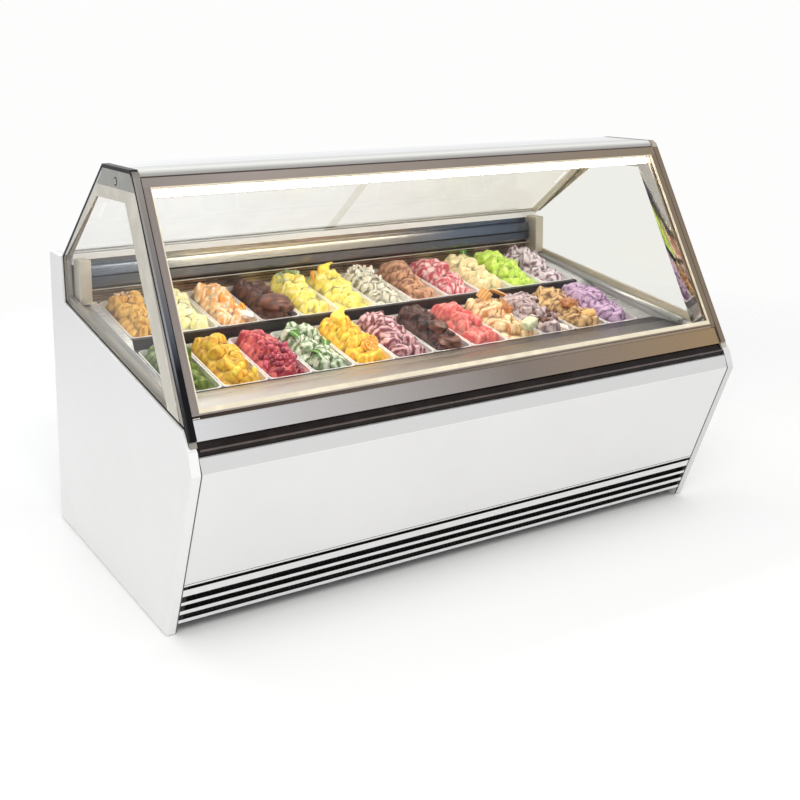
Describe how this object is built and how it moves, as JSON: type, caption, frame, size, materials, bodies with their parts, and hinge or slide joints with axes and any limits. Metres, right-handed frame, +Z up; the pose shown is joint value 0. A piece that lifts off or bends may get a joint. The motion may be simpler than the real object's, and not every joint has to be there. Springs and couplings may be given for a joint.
{
  "type": "ice cream dipping cabinet",
  "caption": "Refrigerated glass-fronted dipping cabinet with two stepped rows of steel ice cream pans, a tilting front glass and sliding rear doors.",
  "frame": {"origin": "on the floor under the centre of the cabinet's bounding box", "axes": "+X along the cabinet to the customer's right, +Y towards the operator at the rear, +Z up"},
  "size_m": [2.2, 1.3396, 1.42],
  "materials": {
    "white_panel": "smooth white powder coat",
    "end_panel_white": "gloss white moulded panel",
    "tub_liner": "foam-filled moulded liner",
    "champagne_aluminium": "satin champagne anodised",
    "lid_aluminium": "satin natural anodised",
    "bumper_brown": "gloss brown-black",
    "deck_steel": "brushed stainless",
    "pan_steel": "polished stainless",
    "chassis_steel": "galvanised",
    "pane_glass": "clear toughened glass",
    "door_clear": "clear acrylic",
    "led_diffuser": "lit diffuser",
    "worktop_white": "smooth white powder coat",
    "panel_black": "fine textured",
    "switch_red": "gloss",
    "switch_green": "gloss",
    "key_grey": "soft touch",
    "fin_aluminium": "mill finish",
    "compressor_black": "satin black",
    "fan_black": "satin",
    "pin_steel": "ground",
    "lock_chrome": "polished",
    "gasket_black": "matt black seal",
    "print_beige": "printed band behind glass",
    "print_mirror": "silvered inner face of the printed band",
    "edge_cream": "cream trim",
    "filter_black": "dark mesh",
    "copper_pipe": "drawn copper",
    "blue_grey_trim": "satin",
    "gelato_pale": "soft matt, ice cream",
    "gelato_yellow": "soft matt, ice cream",
    "gelato_red": "soft matt, ice cream",
    "gelato_brown": "soft matt, ice cream",
    "gelato_green": "soft matt, ice cream",
    "gelato_purple": "soft matt, ice cream",
    "topping_fruit": "wet fruit",
    "topping_leaf": "leaf",
    "topping_wafer": "baked wafer",
    "topping_dark": "chocolate"
  },
  "bodies": {
    "cabinet": {"left_side_panel": "end_panel_white", "right_side_panel": "end_panel_white", "base_frame": "chassis_steel", "front_panel": "white_panel", "louvre_grille": "white_panel", "bumper_rail": "bumper_brown", "front_fascia": "champagne_aluminium", "insulated_tub": "tub_liner", "pan_deck": "deck_steel", "middle_pan_rail": "deck_steel", "rear_air_panel": "deck_steel", "left_end_frame": "champagne_aluminium", "right_end_frame": "champagne_aluminium", "left_end_glass": "pane_glass", "right_end_glass": "pane_glass", "top_rail": "lid_aluminium", "led_lamp": "led_diffuser", "left_hinge_pin": "pin_steel", "right_hinge_pin": "pin_steel", "rear_worktop": "worktop_white", "rear_panel": "white_panel", "control_panel": "panel_black", "evaporator_coil": "fin_aluminium", "compressor": "compressor_black", "condenser_coil": "fin_aluminium"},
    "front_glass": {"front_glass_frame": "champagne_aluminium", "front_glass": "pane_glass"},
    "glass_lock": {"glass_lock": "lock_chrome"},
    "left_rear_door": {"left_rear_door": "door_clear"},
    "right_rear_door": {"right_rear_door": "door_clear"},
    "power_switch": {"power_switch": "switch_red"},
    "light_switch": {"light_switch": "switch_green"},
    "up_button": {"up_button": "key_grey"},
    "down_button": {"down_button": "key_grey"},
    "evaporator_fan": {"evaporator_fan": "fan_black"},
    "condenser_fan": {"condenser_fan": "fan_black"},
    "front_pan_01": {"front_pan_01": "pan_steel"},
    "front_pan_02": {"front_pan_02": "pan_steel"},
    "front_pan_03": {"front_pan_03": "pan_steel"},
    "front_pan_04": {"front_pan_04": "pan_steel"},
    "front_pan_05": {"front_pan_05": "pan_steel"},
    "front_pan_06": {"front_pan_06": "pan_steel"},
    "front_pan_07": {"front_pan_07": "pan_steel"},
    "front_pan_08": {"front_pan_08": "pan_steel"},
    "front_pan_09": {"front_pan_09": "pan_steel"},
    "front_pan_10": {"front_pan_10": "pan_steel"},
    "front_pan_11": {"front_pan_11": "pan_steel"},
    "front_pan_12": {"front_pan_12": "pan_steel"},
    "back_pan_01": {"back_pan_01": "pan_steel"},
    "back_pan_02": {"back_pan_02": "pan_steel"},
    "back_pan_03": {"back_pan_03": "pan_steel"},
    "back_pan_04": {"back_pan_04": "pan_steel"},
    "back_pan_05": {"back_pan_05": "pan_steel"},
    "back_pan_06": {"back_pan_06": "pan_steel"},
    "back_pan_07": {"back_pan_07": "pan_steel"},
    "back_pan_08": {"back_pan_08": "pan_steel"},
    "back_pan_09": {"back_pan_09": "pan_steel"},
    "back_pan_10": {"back_pan_10": "pan_steel"},
    "back_pan_11": {"back_pan_11": "pan_steel"},
    "back_pan_12": {"back_pan_12": "pan_steel"}
  },
  "joints": [
    {"name": "front_glass_tilt", "type": "hinge", "parent": "cabinet", "child": "front_glass", "pos_m": [0, -0.59371, 0.74269], "axis": [1, 0, 0], "range_deg": [0, 60]},
    {"name": "left_rear_door_slide", "type": "slide", "parent": "cabinet", "child": "left_rear_door", "axis": [1, 0, 0], "range_m": [0, 1.03]},
    {"name": "right_rear_door_slide", "type": "slide", "parent": "cabinet", "child": "right_rear_door", "axis": [-1, 0, 0], "range_m": [0, 1.03]},
    {"name": "glass_lock_turn", "type": "hinge", "parent": "cabinet", "child": "glass_lock", "pos_m": [-1.08, -0.086, 1.373], "axis": [1, 0, 0], "range_deg": [0, 90]},
    {"name": "power_switch_rock", "type": "hinge", "parent": "cabinet", "child": "power_switch", "pos_m": [0.9, 0.656, 0.91], "axis": [1, 0, 0], "range_deg": [-14, 0]},
    {"name": "light_switch_rock", "type": "hinge", "parent": "cabinet", "child": "light_switch", "pos_m": [0.85, 0.656, 0.91], "axis": [1, 0, 0], "range_deg": [-14, 0]},
    {"name": "up_button_press", "type": "slide", "parent": "cabinet", "child": "up_button", "axis": [0, -1, 0], "range_m": [0, 0.0015], "stiffness_N_per_m": 300, "springref_m": -0.002},
    {"name": "down_button_press", "type": "slide", "parent": "cabinet", "child": "down_button", "axis": [0, -1, 0], "range_m": [0, 0.0015], "stiffness_N_per_m": 300, "springref_m": -0.002},
    {"name": "evaporator_fan_spin", "type": "hinge", "parent": "cabinet", "child": "evaporator_fan", "pos_m": [-0.1, 0.296, 0.552], "axis": [0, 1, 0], "continuous": true},
    {"name": "condenser_fan_spin", "type": "hinge", "parent": "cabinet", "child": "condenser_fan", "pos_m": [-0.56, -0.2, 0.228], "axis": [0, 1, 0], "continuous": true},
    {"name": "front_pan_01_lift", "type": "slide", "parent": "cabinet", "child": "front_pan_01", "axis": [0, -0.1736, 0.9848], "range_m": [0, 0.15]},
    {"name": "front_pan_02_lift", "type": "slide", "parent": "cabinet", "child": "front_pan_02", "axis": [0, -0.1736, 0.9848], "range_m": [0, 0.15]},
    {"name": "front_pan_03_lift", "type": "slide", "parent": "cabinet", "child": "front_pan_03", "axis": [0, -0.1736, 0.9848], "range_m": [0, 0.15]},
    {"name": "front_pan_04_lift", "type": "slide", "parent": "cabinet", "child": "front_pan_04", "axis": [0, -0.1736, 0.9848], "range_m": [0, 0.15]},
    {"name": "front_pan_05_lift", "type": "slide", "parent": "cabinet", "child": "front_pan_05", "axis": [0, -0.1736, 0.9848], "range_m": [0, 0.15]},
    {"name": "front_pan_06_lift", "type": "slide", "parent": "cabinet", "child": "front_pan_06", "axis": [0, -0.1736, 0.9848], "range_m": [0, 0.15]},
    {"name": "front_pan_07_lift", "type": "slide", "parent": "cabinet", "child": "front_pan_07", "axis": [0, -0.1736, 0.9848], "range_m": [0, 0.15]},
    {"name": "front_pan_08_lift", "type": "slide", "parent": "cabinet", "child": "front_pan_08", "axis": [0, -0.1736, 0.9848], "range_m": [0, 0.15]},
    {"name": "front_pan_09_lift", "type": "slide", "parent": "cabinet", "child": "front_pan_09", "axis": [0, -0.1736, 0.9848], "range_m": [0, 0.15]},
    {"name": "front_pan_10_lift", "type": "slide", "parent": "cabinet", "child": "front_pan_10", "axis": [0, -0.1736, 0.9848], "range_m": [0, 0.15]},
    {"name": "front_pan_11_lift", "type": "slide", "parent": "cabinet", "child": "front_pan_11", "axis": [0, -0.1736, 0.9848], "range_m": [0, 0.15]},
    {"name": "front_pan_12_lift", "type": "slide", "parent": "cabinet", "child": "front_pan_12", "axis": [0, -0.1736, 0.9848], "range_m": [0, 0.15]},
    {"name": "back_pan_01_lift", "type": "slide", "parent": "cabinet", "child": "back_pan_01", "axis": [0, -0.1736, 0.9848], "range_m": [0, 0.15]},
    {"name": "back_pan_02_lift", "type": "slide", "parent": "cabinet", "child": "back_pan_02", "axis": [0, -0.1736, 0.9848], "range_m": [0, 0.15]},
    {"name": "back_pan_03_lift", "type": "slide", "parent": "cabinet", "child": "back_pan_03", "axis": [0, -0.1736, 0.9848], "range_m": [0, 0.15]},
    {"name": "back_pan_04_lift", "type": "slide", "parent": "cabinet", "child": "back_pan_04", "axis": [0, -0.1736, 0.9848], "range_m": [0, 0.15]},
    {"name": "back_pan_05_lift", "type": "slide", "parent": "cabinet", "child": "back_pan_05", "axis": [0, -0.1736, 0.9848], "range_m": [0, 0.15]},
    {"name": "back_pan_06_lift", "type": "slide", "parent": "cabinet", "child": "back_pan_06", "axis": [0, -0.1736, 0.9848], "range_m": [0, 0.15]},
    {"name": "back_pan_07_lift", "type": "slide", "parent": "cabinet", "child": "back_pan_07", "axis": [0, -0.1736, 0.9848], "range_m": [0, 0.15]},
    {"name": "back_pan_08_lift", "type": "slide", "parent": "cabinet", "child": "back_pan_08", "axis": [0, -0.1736, 0.9848], "range_m": [0, 0.15]},
    {"name": "back_pan_09_lift", "type": "slide", "parent": "cabinet", "child": "back_pan_09", "axis": [0, -0.1736, 0.9848], "range_m": [0, 0.15]},
    {"name": "back_pan_10_lift", "type": "slide", "parent": "cabinet", "child": "back_pan_10", "axis": [0, -0.1736, 0.9848], "range_m": [0, 0.15]},
    {"name": "back_pan_11_lift", "type": "slide", "parent": "cabinet", "child": "back_pan_11", "axis": [0, -0.1736, 0.9848], "range_m": [0, 0.15]},
    {"name": "back_pan_12_lift", "type": "slide", "parent": "cabinet", "child": "back_pan_12", "axis": [0, -0.1736, 0.9848], "range_m": [0, 0.15]}
  ]
}
